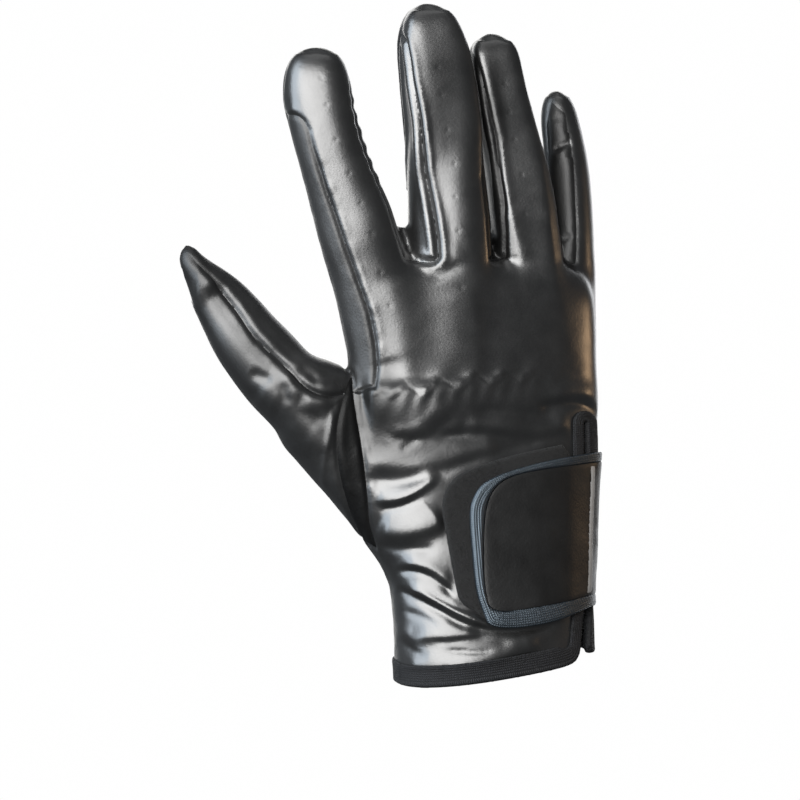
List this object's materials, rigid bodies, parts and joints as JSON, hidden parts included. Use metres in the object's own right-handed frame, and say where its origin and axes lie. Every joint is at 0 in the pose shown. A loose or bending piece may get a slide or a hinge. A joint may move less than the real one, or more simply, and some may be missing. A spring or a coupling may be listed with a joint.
{
  "type": "leather driving glove",
  "caption": "Black leather glove for the right hand in its worn form, with finger side strips, a gathered back, a taped hem and a tab closure at the wrist.",
  "frame": {"origin": "middle of the wrist opening, where the wrist goes in", "axes": "+Z from the wrist up the fingers, -X towards the thumb, -Y out of the back of the hand, +Y out of the palm"},
  "size_m": [0.1468, 0.0466, 0.2322],
  "materials": {
    "smooth_leather": "smooth, semi-gloss",
    "strip_leather": "soft satin",
    "matt_leather": "matt",
    "edge_tape": "ribbed knit tape",
    "tab_tape": "woven tape",
    "pile": "fuzzy pile"
  },
  "bodies": {
    "root": {"back_panel": "smooth_leather", "palm_panel": "smooth_leather", "fourchette_index_middle": "strip_leather", "fourchette_middle_ring": "strip_leather", "fourchette_ring_pinky": "strip_leather", "index_side_panel": "matt_leather", "thumb_outer": "smooth_leather", "thumb_inner": "smooth_leather", "thumb_gusset": "strip_leather", "edge_binding": "edge_tape", "pile_patch": "pile", "closure_tab": "smooth_leather", "tab_binding": "tab_tape"}
  },
  "joints": []
}
